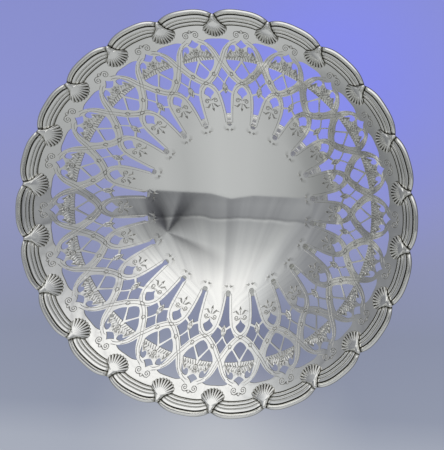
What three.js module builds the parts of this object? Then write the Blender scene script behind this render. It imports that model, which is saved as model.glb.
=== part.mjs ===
// A silver tazza: a shallow bowl with a pierced gallery of interlaced straps, a border of reeded moulding in
// 22 lobes with a cast shell over each joint, and a low spreading foot.
// Millimetres, +Z up. The foot stands on z = 0 and the bowl's axis is the Z axis.

import * as THREE from "three";
import { mergeGeometries, mergeVertices } from "three/addons/utils/BufferGeometryUtils.js";

// Rim outline
const LOBES = 22;
const CREST_RADIUS = 131.6;
const LOBE_DIP = 3.6;
const LOBE_FULLNESS = 3;

// Bowl, measured on the upper face of the sheet
const RIM_HEIGHT = 77;
const BOWL_DEPTH = 52.5;
const WELL_RADIUS = 56.3;
const SLOPE_AT_WELL = 0.37;
const SLOPE_AT_RIM = 0.66;
const SHEET = 1.2;
const SHEET_SETBACK = 0.6;

// Border moulding
const BORDER_WIDTH = 9.7;
const BORDER_HEIGHT = 2.8;

// Cast shells: a fan of ridges about a centre that lies in from the cusp, and a stem from there out to it
const SHELL_CENTRE = 4.6;
const FAN_REACH = 9.1;
const FAN_RIDGES = 9;
const FAN_SPREAD = THREE.MathUtils.degToRad(62);
const FLUTE_DEPTH = 0.7;
const SHELL_CROWN = 3.6;
const SHELL_LIP = 1.5;
const SHOULDER_SHARE = 0.62;
const FAN_FULLNESS = 2;
const STEM_FULLNESS = 6;

// Pierced gallery, and where the plain well begins as a share of the gallery's reach
const PLAIN_BAND = 4.6;
const GALLERY_REACH = 56;
const SEAM_SHARE = 1.09;
const WELL_RINGS = [1, 0.88, 0.53];

// Foot
const FOOT_RADIUS = 64.2;
const NECK_RADIUS = 46.5;
const FOOT_SHEET = 1.2;
const FOOT_EDGE_SETBACK = 1.2;
const FOOT_EDGE_HEIGHT = 0.9;
const FOOT_STEP_HEIGHT = 5.2;
const FOOT_STEP_WIDTH = 5.4;
const FOOT_STEP_FALL = 1;
const WIRE_WIDTH = 4.4;
const WIRE_HEIGHT = 2.2;
const WIRE_ROUNDING = 0.8;

// Pull of the cove's curve: down the neck, out along the step and up from it
const COVE_FALL = 0.55;
const COVE_SPREAD = 0.3;
const COVE_LIFT = 0.6;

// Roughness of each kind of work
const SHEET_ROUGHNESS = 0.12;
const SPUN_ROUGHNESS = 0.15;
const CAST_ROUGHNESS = 0.2;

// Solder line that the pieces keep between them
const SEAT_GAP = 0.3;

// Values that follow from the sizes above
const HALF_LOBE = Math.PI / LOBES;
const CUSP_RADIUS = CREST_RADIUS - LOBE_DIP;
const GALLERY_TOP = CUSP_RADIUS - BORDER_WIDTH - PLAIN_BAND;
const GALLERY_MIDDLE = GALLERY_TOP - GALLERY_REACH / 2;
const WELL_SEAM = GALLERY_TOP - GALLERY_REACH * SEAM_SHARE;
const CURVE_STEPS = 2;
const TURNED_STEPS = 2 * LOBES;

// Radius of the scalloped edge, where across runs from 0 on a lobe's crest to 1 at the cusp
function edgeRadius(across) {
  return CREST_RADIUS - LOBE_DIP * Math.abs(across) ** LOBE_FULLNESS;
}

// Height of the bowl's upper face: a shallow dished well, then a wall that steepens and eases at the rim
function bowlTop(radius) {
  const wellEdge = RIM_HEIGHT - BOWL_DEPTH;
  if (radius < WELL_RADIUS) {
    return wellEdge - (SLOPE_AT_WELL * (WELL_RADIUS ** 2 - radius ** 2)) / (2 * WELL_RADIUS);
  }
  if (radius > CUSP_RADIUS) {
    return RIM_HEIGHT + SLOPE_AT_RIM * (radius - CUSP_RADIUS);
  }
  const span = CUSP_RADIUS - WELL_RADIUS;
  const t = (radius - WELL_RADIUS) / span;
  const rise = BOWL_DEPTH * (3 * t ** 2 - 2 * t ** 3);
  const leaving = SLOPE_AT_WELL * span * (t ** 3 - 2 * t ** 2 + t);
  const arriving = SLOPE_AT_RIM * span * (t ** 3 - t ** 2);
  return wellEdge + rise + leaving + arriving;
}

function bowlSlope(radius) {
  const step = 0.01;
  return (bowlTop(radius + step) - bowlTop(radius - step)) / (2 * step);
}

// Height of a face that lies off the bowl's upper face by a distance square to it
function bowlOffset(radius, distance) {
  return bowlTop(radius) + distance * Math.hypot(1, bowlSlope(radius));
}

function polar(radius, angle, height) {
  return new THREE.Vector3(radius * Math.cos(angle), radius * Math.sin(angle), height);
}

function solidFrom(points, faces) {
  const geometry = new THREE.BufferGeometry();
  const coordinates = points.flatMap((point) => [point.x, point.y, point.z]);
  geometry.setAttribute("position", new THREE.Float32BufferAttribute(coordinates, 3));
  geometry.setIndex(faces.flat());
  return geometry;
}

// Silver, as cast, stamped or spun and then polished
function silver(roughness) {
  return new THREE.MeshStandardMaterial({ color: 0xd3d5d6, metalness: 1, roughness });
}

function piece(name, geometry, roughness) {
  geometry.computeVertexNormals();
  const mesh = new THREE.Mesh(geometry, silver(roughness));
  mesh.name = name;
  return mesh;
}

// The piercing of half a lobe. A row is a corner, or a bend and a corner, in hundredths: first across the
// half lobe, from the crest line to the cusp line, then down the gallery, from its top to the slot's eye.
const CREST_CUTS = {
  leaf: [[0, 0.8], [23, 6.2], [0, 10.5]],
  lattice: [[0, 27.5], [35, 38.6], [24, 44.3, 0, 46.1]],
  window: [[0, 55.4], [19, 57, 31, 62.4], [14, 65.6], [0, 70.2]],
};
const CUSP_CUTS = {
  keyhole: [[100, 103.3], [78, 103.3, 78, 100], [87, 96], [64.6, 64], [87, 61], [100, 64.4]],
  diamond: [[100, 50.5], [74, 43], [100, 33.6]],
  heart: [[100, 21.3], [81, 9.3, 45, 3.4], [61, 0.6], [82, 0.9], [100, 2]],
};
const INNER_CUTS = {
  comma: [[25, 10], [34, 6.5, 54, 11], [66, 18.5], [56, 14.5, 45, 13.3], [28, 15.5, 25, 10]],
  triangle: [[4, 24.8], [73, 24.7], [68, 32.5, 41, 37.9], [4, 24.8]],
  basket: [[69.5, 43.8], [31, 51.4], [46, 55.4, 60, 61.6], [84, 59], [86.5, 55.4], [94.5, 51.8], [69.5, 43.8]],
};

// A point of the half lobe laid out flat, x across it at the gallery's middle radius and y the radius
function flatPoint(across, down) {
  const x = (across / 100) * HALF_LOBE * GALLERY_MIDDLE;
  return [x, GALLERY_TOP - (down / 100) * GALLERY_REACH];
}

function traceCut(path, rows) {
  for (const row of rows) {
    if (row.length === 4) {
      path.quadraticCurveTo(...flatPoint(row[0], row[1]), ...flatPoint(row[2], row[3]));
    } else {
      path.lineTo(...flatPoint(row[0], row[1]));
    }
  }
}

// The metal that half a lobe leaves, as a flat outline with its holes
function halfLobeShape() {
  const edgeSteps = 4;
  const shape = new THREE.Shape();
  const width = HALF_LOBE * GALLERY_MIDDLE;
  shape.moveTo(0, edgeRadius(0) - SHEET_SETBACK);
  for (const cut of Object.values(CREST_CUTS)) {
    traceCut(shape, cut);
  }
  shape.lineTo(0, WELL_SEAM);
  shape.lineTo(width, WELL_SEAM);
  for (const cut of Object.values(CUSP_CUTS)) {
    traceCut(shape, cut);
  }
  for (let i = edgeSteps; i > 0; i -= 1) {
    const across = i / edgeSteps;
    shape.lineTo(across * width, edgeRadius(across) - SHEET_SETBACK);
  }
  for (const cut of Object.values(INNER_CUTS)) {
    const hole = new THREE.Path();
    hole.moveTo(...flatPoint(...cut[0]));
    traceCut(hole, cut.slice(1));
    shape.holes.push(hole);
  }
  return shape;
}

// Half a lobe of the flat outline turned into its place in plan, on one side of the crest line or the other
function placeHalfLobe(flat, lobe, side) {
  const geometry = flat.clone();
  const position = geometry.getAttribute("position");
  for (let i = 0; i < position.count; i += 1) {
    const angle = 2 * HALF_LOBE * lobe + (side * position.getX(i)) / GALLERY_MIDDLE;
    const radius = position.getY(i);
    position.setXY(i, radius * Math.cos(angle), radius * Math.sin(angle));
  }
  const index = geometry.getIndex();
  const faces = [];
  for (let i = 0; i < index.count; i += 3) {
    const corners = [index.getX(i), index.getX(i + 1), index.getX(i + 2)];
    faces.push(...(side > 0 ? corners.reverse() : corners));
  }
  geometry.setIndex(faces);
  return geometry;
}

// The whole bowl in plan: the pierced repeats and, inside them, the rings of the plain well
function bowlPlan() {
  const flat = new THREE.ShapeGeometry(halfLobeShape(), CURVE_STEPS);
  flat.deleteAttribute("normal");
  flat.deleteAttribute("uv");
  const parts = [];
  for (let lobe = 0; lobe < LOBES; lobe += 1) {
    parts.push(placeHalfLobe(flat, lobe, 1), placeHalfLobe(flat, lobe, -1));
  }
  const rings = WELL_RINGS.map((share) => share * WELL_SEAM);
  for (let i = 0; i + 1 < rings.length; i += 1) {
    parts.push(new THREE.RingGeometry(rings[i + 1], rings[i], TURNED_STEPS, 1));
  }
  parts.push(new THREE.CircleGeometry(rings[rings.length - 1], TURNED_STEPS));
  for (const part of parts) {
    part.deleteAttribute("normal");
    part.deleteAttribute("uv");
  }
  return mergeVertices(mergeGeometries(parts), 0.001);
}

// The directed edges that only one triangle has
function openEdges(faces) {
  const edges = new Map();
  for (const face of faces) {
    for (let i = 0; i < 3; i += 1) {
      edges.set(`${face[i]} ${face[(i + 1) % 3]}`, [face[i], face[(i + 1) % 3]]);
    }
  }
  return [...edges.values()].filter(([from, to]) => !edges.has(`${to} ${from}`));
}

// The flat plan draped on the bowl's form and given the thickness of the sheet
function piercedBowl() {
  const plan = bowlPlan();
  const position = plan.getAttribute("position");
  const index = plan.getIndex();
  const count = position.count;
  const upper = [];
  const lower = [];
  for (let i = 0; i < count; i += 1) {
    const radius = Math.hypot(position.getX(i), position.getY(i));
    upper.push(new THREE.Vector3(position.getX(i), position.getY(i), bowlTop(radius)));
    lower.push(new THREE.Vector3(position.getX(i), position.getY(i), bowlOffset(radius, -SHEET)));
  }
  const faces = [];
  for (let i = 0; i < index.count; i += 3) {
    faces.push([index.getX(i), index.getX(i + 1), index.getX(i + 2)]);
  }
  const under = faces.map(([a, b, c]) => [a + count, c + count, b + count]);
  const walls = openEdges(faces).flatMap(([from, to]) => [
    [to, from, from + count],
    [to, from + count, to + count],
  ]);
  return solidFrom([...upper, ...lower], [...faces, ...under, ...walls]);
}

// A closed solid through a row of rings with the same number of points, closed by a cap at each end
function loft(rings, capFaces) {
  const count = rings[0].length;
  const faces = [];
  for (let ring = 0; ring + 1 < rings.length; ring += 1) {
    for (let i = 0; i < count; i += 1) {
      const a = ring * count + i;
      const b = ring * count + ((i + 1) % count);
      faces.push([a, b, b + count], [a, b + count, a + count]);
    }
  }
  const last = (rings.length - 1) * count;
  for (const [a, b, c] of capFaces) {
    faces.push([a, c, b], [a + last, b + last, c + last]);
  }
  return solidFrom(rings.flat(), faces);
}

// Section of the border: in from the outer edge in shares of its width, up from the sheet in shares of its
// height. Two fine reeds, a band that slopes up, and a bold outer bead.
const BORDER_SECTION = [
  [1, 0], [1, 0.3], [0.87, 0.55], [0.75, 0.35], [0.63, 0.7], [0.53, 0.4], [0.27, 0.55],
  [0.2, 0.95], [0.06, 0.95], [-0.02, 0.5], [0, 0],
];

// The sides of a shell from its last ridge to the end of its stem: the turn from the way the fan faces, in
// degrees, and the reach from the fan's centre, as a share of the fan's own
const SHELL_SIDES = [[66, 0.85], [78, 0.45], [115, 0.29], [180, 0.47]];

// Half the outline of a shell, from the middle of its lip to the end of its stem
function halfShellOutline() {
  const outline = [];
  for (let i = 0; i < FAN_RIDGES; i += 1) {
    outline.push({ turn: (i * FAN_SPREAD) / FAN_RIDGES, reach: FAN_REACH - (i % 2) * FLUTE_DEPTH });
  }
  for (const [degrees, share] of SHELL_SIDES) {
    outline.push({ turn: THREE.MathUtils.degToRad(degrees), reach: share * FAN_REACH });
  }
  return outline;
}

// Half the width that a shell and the gap beside it take at a distance in from the rim's cusp
function shellRoom(inward) {
  const ahead = inward + 2 * SEAT_GAP;
  const side = halfShellOutline().reverse().map(({ turn, reach }) => ({
    inward: SHELL_CENTRE + reach * Math.cos(turn),
    aside: reach * Math.sin(turn),
  }));
  let widest = 0;
  for (let i = 0; i + 1 < side.length; i += 1) {
    const along = (ahead - side[i].inward) / (side[i + 1].inward - side[i].inward);
    const share = THREE.MathUtils.clamp(along, 0, 1);
    widest = Math.max(widest, side[i].aside + share * (side[i + 1].aside - side[i].aside));
  }
  return widest + SEAT_GAP;
}

// How far across its lobe a line of the border runs before it meets the room round a shell, as a share
function borderReach(inset) {
  const passes = 8;
  let across = 1;
  for (let pass = 0; pass < passes; pass += 1) {
    const radius = edgeRadius(across) - inset;
    across = 1 - shellRoom(CUSP_RADIUS - radius) / (radius * HALF_LOBE);
  }
  return across;
}

// One lobe's length of the reeded border, mitred at both ends to the sides of the shells
function borderLength(lobe) {
  const stations = 5;
  const outline = BORDER_SECTION.map(([x, y]) => new THREE.Vector2(x, y));
  const caps = THREE.ShapeUtils.triangulateShape(outline, []);
  const rings = [];
  for (let station = 0; station < stations; station += 1) {
    const share = (2 * station) / (stations - 1) - 1;
    const ring = BORDER_SECTION.map(([inward, up]) => {
      const inset = inward * BORDER_WIDTH;
      const across = share * borderReach(inset);
      const radius = edgeRadius(across) - inset;
      const height = bowlOffset(radius, SEAT_GAP + up * BORDER_HEIGHT);
      return polar(radius, (2 * lobe + across) * HALF_LOBE, height);
    });
    rings.push(ring);
  }
  return loft(rings, caps);
}

// A domed fan on a stem, over the joint of two border lengths. Its lip has a point for each ridge and each
// flute; its foot and its shoulder have one for each ridge, and its crown lies over the fan's centre.
function castShell(lobe) {
  const cuspAngle = (2 * lobe + 1) * HALF_LOBE;
  const place = ({ turn, reach }, share, up) => {
    const radius = CUSP_RADIUS - SHELL_CENTRE - share * reach * Math.cos(turn);
    const angle = cuspAngle - (share * reach * Math.sin(turn)) / radius;
    return polar(radius, angle, bowlOffset(radius, SEAT_GAP + up));
  };
  const half = halfShellOutline();
  const mirrored = half.slice(1, -1).reverse().map(({ turn, reach }) => ({ turn: -turn, reach }));
  const outline = [...half, ...mirrored];
  const ridges = outline.filter((_, i) => i % 2 === 0);
  const shoulder = ({ turn }) => {
    const fullness = FAN_FULLNESS + (STEM_FULLNESS - FAN_FULLNESS) * (turn / Math.PI) ** 2;
    return SHELL_LIP + (SHELL_CROWN - SHELL_LIP) * (1 - SHOULDER_SHARE ** fullness);
  };
  const points = [
    place(outline[0], 0, SHELL_CROWN),
    ...outline.map((corner) => place(corner, 1, SHELL_LIP)),
    ...ridges.map((corner) => place(corner, 1, 0)),
    ...ridges.map((corner) => place(corner, SHOULDER_SHARE, shoulder(corner))),
  ];
  const faces = [];
  const base = 1 + outline.length;
  const upper = base + ridges.length;
  for (let i = 0; i < ridges.length; i += 1) {
    const next = (i + 1) % ridges.length;
    const [a, b, c] = [1 + 2 * i, 2 + 2 * i, 1 + 2 * next];
    faces.push([base + i, b, a], [base + i, base + next, b], [base + next, c, b]);
    faces.push([a, b, upper + i], [b, upper + next, upper + i], [b, c, upper + next]);
    faces.push([upper + i, upper + next, 0]);
  }
  for (let i = 1; i + 1 < ridges.length; i += 1) {
    faces.push([base, base + i + 1, base + i]);
  }
  return solidFrom(points, faces);
}

// A profile of radii and heights turned about the Z axis
function turned(profile) {
  const closed = [...profile, profile[0]].map(([radius, height]) => new THREE.Vector2(radius, height));
  const geometry = new THREE.LatheGeometry(closed, TURNED_STEPS);
  geometry.rotateX(Math.PI / 2);
  geometry.rotateZ(Math.PI / 2);
  geometry.deleteAttribute("normal");
  geometry.deleteAttribute("uv");
  return mergeVertices(geometry, 0.001);
}

// The spun foot: a narrow neck under the well, a cove that spreads, a small step and a flat edge
function footCove() {
  const edge = FOOT_RADIUS - FOOT_EDGE_SETBACK;
  const edgeLow = WIRE_HEIGHT + SEAT_GAP;
  const step = edge - FOOT_STEP_WIDTH;
  const neckTop = bowlOffset(NECK_RADIUS, -SHEET - SEAT_GAP);
  const cove = new THREE.CubicBezierCurve(
    new THREE.Vector2(NECK_RADIUS, neckTop),
    new THREE.Vector2(NECK_RADIUS, neckTop * (1 - COVE_FALL)),
    new THREE.Vector2(NECK_RADIUS + (step - NECK_RADIUS) * COVE_SPREAD, FOOT_STEP_HEIGHT + COVE_LIFT),
    new THREE.Vector2(step, FOOT_STEP_HEIGHT),
  );
  const outer = cove.getPoints(4).map((point) => [point.x, point.y]);
  const inner = outer.map(([radius, height], i) => {
    const drop = i === 0 ? 0 : FOOT_SHEET;
    const draw = i === outer.length - 1 ? 0 : FOOT_SHEET;
    return [radius - draw, height - drop];
  });
  const rim = [
    [step + FOOT_STEP_FALL, FOOT_STEP_HEIGHT - FOOT_STEP_FALL],
    [edge, edgeLow + FOOT_EDGE_HEIGHT],
    [edge, edgeLow],
  ];
  return turned([...outer, ...rim, [step, edgeLow], ...inner.reverse()].reverse());
}

// The half-round wire soldered under the foot's edge, flat where it stands
function footWire() {
  const inner = FOOT_RADIUS - WIRE_WIDTH;
  return turned([
    [inner, 0],
    [FOOT_RADIUS - WIRE_ROUNDING, 0],
    [FOOT_RADIUS, WIRE_HEIGHT / 2],
    [FOOT_RADIUS - WIRE_ROUNDING, WIRE_HEIGHT],
    [inner, WIRE_HEIGHT],
  ]);
}

const tazza = new THREE.Group();
tazza.add(piece("pierced_bowl", piercedBowl(), SHEET_ROUGHNESS));
for (let lobe = 0; lobe < LOBES; lobe += 1) {
  const number = String(lobe + 1).padStart(2, "0");
  tazza.add(piece(`border_length_${number}`, borderLength(lobe), CAST_ROUGHNESS));
  tazza.add(piece(`rim_shell_${number}`, castShell(lobe), CAST_ROUGHNESS));
}
tazza.add(piece("foot_cove", footCove(), SPUN_ROUGHNESS));
tazza.add(piece("foot_wire", footWire(), SPUN_ROUGHNESS));

export default tazza;
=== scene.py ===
# A pierced silver tazza on a plain pale floor. The add-on models the engraved and pierced bowl, the reeded
# border, the cast shells and the spun foot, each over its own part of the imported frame.

import math
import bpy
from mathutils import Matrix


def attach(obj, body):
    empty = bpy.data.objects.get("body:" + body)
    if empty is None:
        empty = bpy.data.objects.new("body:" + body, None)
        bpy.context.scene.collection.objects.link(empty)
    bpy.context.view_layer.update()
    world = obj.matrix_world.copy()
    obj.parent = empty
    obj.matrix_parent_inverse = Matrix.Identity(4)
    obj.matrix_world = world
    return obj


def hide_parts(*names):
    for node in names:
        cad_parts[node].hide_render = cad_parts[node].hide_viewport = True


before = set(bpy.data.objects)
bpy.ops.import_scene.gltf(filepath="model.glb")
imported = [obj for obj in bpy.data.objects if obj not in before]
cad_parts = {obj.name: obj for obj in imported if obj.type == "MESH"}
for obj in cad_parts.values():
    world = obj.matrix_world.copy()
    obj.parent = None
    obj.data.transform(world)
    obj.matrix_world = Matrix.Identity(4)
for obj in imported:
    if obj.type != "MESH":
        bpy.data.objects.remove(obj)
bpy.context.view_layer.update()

from types import SimpleNamespace

import bmesh
import bpy
from bpy.props import FloatProperty, FloatVectorProperty, IntProperty, PointerProperty
from mathutils import Matrix, Vector
from mathutils.geometry import delaunay_2d_cdt
from mathutils.kdtree import KDTree

bl_info = {
    "name": "Pierced Silver Tazza",
    "version": (1, 0, 0),
    "blender": (4, 5, 0),
    "location": "View3D > Sidebar > Tazza",
    "description": "Models a pierced silver tazza with a shell border and the plain studio it stands in",
    "category": "Add Mesh",
}

BODY = "root"

# The meshes are worked out in millimetres and scaled to metres at the end
MM = 0.001


def length(name, description, default):
    return FloatProperty(name=name, description=description, default=default, unit="LENGTH", precision=5)


def share(name, description, default):
    return FloatProperty(name=name, description=description, default=default, subtype="FACTOR", min=0, max=1)


def linear(hex_colour):
    """An sRGB hex colour as linear RGBA."""
    channels = [int(hex_colour[i : i + 2], 16) / 255 for i in (1, 3, 5)]
    return (*(c / 12.92 if c <= 0.04045 else ((c + 0.055) / 1.055) ** 2.4 for c in channels), 1.0)


def colour(name, description, hex_colour):
    return FloatVectorProperty(
        name=name, description=description, default=linear(hex_colour), size=4, subtype="COLOR", min=0, max=1
    )


class TazzaBowlSizes(bpy.types.PropertyGroup):
    lobes: IntProperty(name="Lobes", description="Lobes of the rim and repeats of the piercing", default=22)
    crest_radius: length("Crest radius", "Centre to the crest of a lobe", 0.1316)
    lobe_dip: length("Lobe dip", "How far the rim dips between two lobes", 0.0036)
    rim_height: length("Rim height", "Table to the upper face of the sheet at the rim's cusps", 0.077)
    bowl_depth: length("Bowl depth", "Rim down to the edge of the well", 0.0525)
    well_radius: length("Well radius", "Radius of the plain well", 0.0563)
    slope_at_well: share("Slope at well", "Rise of the wall at the well", 0.37)
    slope_at_rim: share("Slope at rim", "Rise of the wall at the rim", 0.66)
    sheet: length("Sheet", "Thickness of the silver sheet", 0.0012)
    setback: length("Setback", "How far the sheet's edge stays inside the border's", 0.0006)
    gallery_top: length("Gallery top", "Radius at the top of the piercing", 0.1137)
    gallery_reach: length("Gallery reach", "Top of the piercing to the eye of a slot", 0.056)


class TazzaEngravingSizes(bpy.types.PropertyGroup):
    strap_line: length("Strap line", "Width of a line along a strap", 0.0004)
    line_width: length("Line width", "Width of the other bright-cut lines", 0.00052)
    line_depth: length("Line depth", "Depth of a bright-cut line", 0.00016)
    line_clearance: length("Line clearance", "Least room between a line and a pierced edge", 0.00036)
    carving_height: length("Carving height", "Relief of the garlands and buds", 0.00035)
    outline_step: length("Outline step", "Spacing of the points on a pierced edge", 0.00115)
    carving_step: length("Carving step", "Spacing of the points in the carved leaves", 0.00054)


class TazzaBorderSizes(bpy.types.PropertyGroup):
    width: length("Width", "Width of the reeded border", 0.0101)
    foot_gap: length("Solder line", "Gap between the border and the sheet", 0.00005)
    shell_height: length("Shell height", "Height of a shell's crown over the sheet", 0.0039)
    lip_height: length("Lip height", "Height of a shell's lip over the sheet", 0.0015)
    shell_spread: FloatProperty(
        name="Ridge spread", description="Half the angle over which the ridges fan out",
        default=1.082, subtype="ANGLE",
    )
    shell_ridges: IntProperty(name="Ridges", description="Ridges of a shell", default=9)
    fan_centre: length("Fan centre", "Cusp of the rim to the centre of the fan", 0.0046)
    fan_radius: length("Fan radius", "Centre of the fan to its lip", 0.0092)
    flute_depth: length("Flute depth", "Depth of the grooves at a shell's lip", 0.0013)
    knob_rise: length("Knob rise", "Height of the knob at a shell's outer end over its fan", 0.0008)


class TazzaFootSizes(bpy.types.PropertyGroup):
    radius: length("Radius", "Outer radius of the foot wire", 0.0642)
    neck_radius: length("Neck radius", "Radius where the foot meets the bowl", 0.0465)
    sheet: length("Sheet", "Thickness of the spun foot", 0.0012)
    step_height: length("Step height", "Height of the step over the table", 0.0052)
    step_width: length("Step width", "Width of the flat spread outside the step", 0.0054)
    wire_width: length("Wire width", "Width of the foot wire", 0.0044)
    wire_height: length("Wire height", "Height of the foot wire", 0.0022)


class TazzaFinish(bpy.types.PropertyGroup):
    silver: colour("Silver", "Colour of polished silver", "#FBFBF7")
    # Blended in by the shade attribute: painted shade in grooves, creases, sawn edges and under the shells'
    # lips, and the patina in the cuts
    shade_and_patina: colour("Recess", "Colour of the darkened cuts", "#4E4838")


class TazzaStudio(bpy.types.PropertyGroup):
    # Painted light and shade on the floor: a patch of coloured lamp light, a pool of light thrown by the
    # silver, a soft shadow below the bowl, and light added under the pierced bowl
    painted_lamp_light: colour("Lamp patch", "Colour of the floor under the coloured lamp", "#949AFE")
    painted_pool_of_light: colour("Pale pool", "Colour of the floor where the silver throws light on it", "#CCD0D8")
    painted_soft_shadow: colour("Soft shade", "Colour of the floor in the shade below the bowl", "#7A80A0")
    painted_under_light: colour("Under light", "Light added to the floor's colour under the pierced bowl", "#4E4E40")
    floor_glow: share("Floor glow", "Share of the floor's colour that glows", 0.7)


def in_millimetres(sizes):
    """A group's sizes by name, with its lengths in millimetres."""
    lengths = {prop.identifier for prop in sizes.bl_rna.properties if getattr(prop, "unit", "") == "LENGTH"}
    values = {key: getattr(sizes, key) for key in sizes.__annotations__}
    return SimpleNamespace(**{key: value / MM if key in lengths else value for key, value in values.items()})


# Curves of the bowl

# The well's edge as the piercing sees it, in reaches of the gallery from its top
SEAM_DOWN = 1.13


def polar(radius, angle):
    return radius * Vector((math.cos(angle), math.sin(angle)))


class BowlForm:
    """The bowl's curves in millimetres, with the cusps' spacing as an angle."""

    def __init__(self, sizes):
        vars(self).update(vars(in_millimetres(sizes)))
        self.half = math.pi / self.lobes
        self.cusp = self.crest_radius - self.lobe_dip
        self.seam = self.gallery_top - SEAM_DOWN * self.gallery_reach

    def edge(self, across):
        """Radius of the scalloped edge, across from 0 on a crest to 1 at a cusp."""
        return self.crest_radius - self.lobe_dip * abs(across) ** 3

    def top(self, radius):
        """Height of the upper face."""
        well = self.well_radius
        floor = self.rim_height - self.bowl_depth
        if radius < well:
            return floor - self.slope_at_well * (well**2 - radius**2) / (2 * well)
        if radius > self.cusp:
            return self.rim_height + self.slope_at_rim * (radius - self.cusp)
        span = self.cusp - well
        t = (radius - well) / span
        rise = self.bowl_depth * (3 * t**2 - 2 * t**3)
        leaving = self.slope_at_well * span * (t**3 - 2 * t**2 + t)
        arriving = self.slope_at_rim * span * (t**3 - t**2)
        return floor + rise + leaving + arriving

    def slope(self, radius):
        step = 0.01
        return (self.top(radius + step) - self.top(radius - step)) / (2 * step)

    def offset(self, radius, distance):
        """Height of a face that lies off the upper face by a distance square to it."""
        return self.top(radius) + distance * math.hypot(1, self.slope(radius))

    def normal(self, x, y):
        radius = math.hypot(x, y)
        if radius < 1e-6:
            return Vector((0, 0, 1))
        slope = self.slope(radius)
        return Vector((-slope * x / radius, -slope * y / radius, 1)).normalized()

    def plan(self, across, down):
        """A point of the half lobe in plan, given in hundredths across it and down the gallery."""
        angle = across / 100 * self.half
        radius = self.gallery_top - down / 100 * self.gallery_reach
        return Vector((radius * math.cos(angle), radius * math.sin(angle)))


# The piercing of half a lobe. A row is a corner, or a bend and a corner, in hundredths: first across the
# half lobe, from the crest line to the cusp line, then down the gallery, from its top to the slot's eye.
CREST_CUTS = {
    "leaf": [(0, 0.8), (10, 4.6, 23, 6.2), (14, 9.4, 0, 10.6)],
    "lattice": [(0, 27.5), (17, 33, 35, 38.6), (24, 44.3, 0, 46.1)],
    "window": [(0, 55.4), (19, 57, 31, 62.4), (23, 64.6, 14, 65.6), (6, 66.8, 0, 70.2)],
}
CUSP_CUTS = {
    "keyhole": [
        (100, 103.3), (78, 103.3, 78, 100), (78, 97.6, 87, 96), (81, 84, 76, 75.7),
        (71.5, 68, 64.6, 64), (76, 62.4, 87, 61), (93, 62, 100, 64.4),
    ],
    "diamond": [(100, 50.5), (86, 46, 74, 43), (84, 38.6, 100, 33.6)],
    "heart": [(100, 21.3), (81, 9.3, 45, 3.4), (54, 1.9, 66, 1.4), (83, 1.1, 100, 1.4)],
}
INNER_CUTS = {
    "comma": [
        (25, 10), (26, 6.8, 39, 7.8), (52, 8.4, 58, 13), (63, 16.8, 67, 19), (57, 16.6, 51, 13.4),
        (46, 11.6, 44, 13.2), (41, 16, 33, 14.9), (25, 14, 25, 10),
    ],
    "triangle": [
        (4, 24.8), (14, 25.6, 23, 24.7), (31, 25.6, 39, 24.7), (47, 25.6, 55, 24.7), (64, 25.6, 73, 24.7),
        (68, 32.5, 41, 37.9), (22, 32.4, 4, 24.8),
    ],
    "basket": [
        (69.5, 43.8), (52, 48.6, 31, 51.4), (46, 55.4, 60, 61.6), (72, 60.6, 84, 59), (85, 57, 86.5, 55.4),
        (91, 53.4, 94.5, 51.8), (84, 47.4, 69.5, 43.8),
    ],
}

# Centre lines of the three straps that half a lobe shows, and how far its two engraved lines lie from them
# in millimetres. The rows run a little past the lines of symmetry, where they are trimmed.
STRAPS = [
    (0.80, [(27, 2.5), (42, 4.6), (55, 7.9), (71, 13), (81, 18.2), (90, 23.4), (100, 28), (118, 34)]),
    (0.95, [(118, 22), (100, 28), (84, 33.6), (68.7, 39.1), (42, 45), (20, 49), (0, 50.9), (-20, 52.8)]),
    (0.72, [
        (-20, 49), (0, 50.9), (20, 53), (38, 56.5), (56, 62.9), (67.5, 75.7), (74, 86), (78, 95), (80, 99),
    ]),
]

# Other engraved lines, as points of smooth curves in the same hundredths
STROKES = {
    "arch": [(-5, -8.3), (0, -9.5), (4, -8.6), (8, -7.2)],
    "crest_knot": [(-4, 49.5), (5, 49.5), (10.4, 49.7), (11, 50.9), (10.4, 52.1), (5, 52.3), (-4, 52.3)],
    "strap_boss": [(46, 41.4), (49, 39.5), (58, 39), (61, 41), (58, 43), (49, 43.3), (46, 41.4)],
    "petal_leaf": [(13, 75.6), (22, 76.4), (33, 79), (45, 78.4)],
    "petal_leaf_low": [(14, 76.6), (22, 78.2), (32, 80)],
    "petal_stem": [(0, 75.2), (0, 77.2), (0, 79)],
    "petal_bud": [(-6, 81), (0, 83.6), (6, 81)],
    "bud_vein": [(92, 57.4), (94, 59.4), (100, 61.6)],
}

# Engraved scrolls: centre in hundredths, outer and inner radius in millimetres, start and sweep in degrees
SCROLLS = [
    (18.5, -4, 2.5, 0.4, -50, 580),
    (27, 71.8, 1.7, 0.5, -60, 500),
    (83, 108, 0.95, 0.35, -90, 330),
    (0, 82.4, 0.36, 0.36, 0, 360),
    (0, 17.6, 1.5, 1.5, 0, 360),
    (0, 17.6, 0.6, 0.6, 0, 360),
]

# The dark gaps in the fringe of petals below a garland
GARLAND_GAPS = [[(4 + 12 * i, 20.8 + 0.3 * i), (7.5 + 12 * i, 22.6), (8 + 12.2 * i, 24.5)] for i in range(6)]

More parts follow.
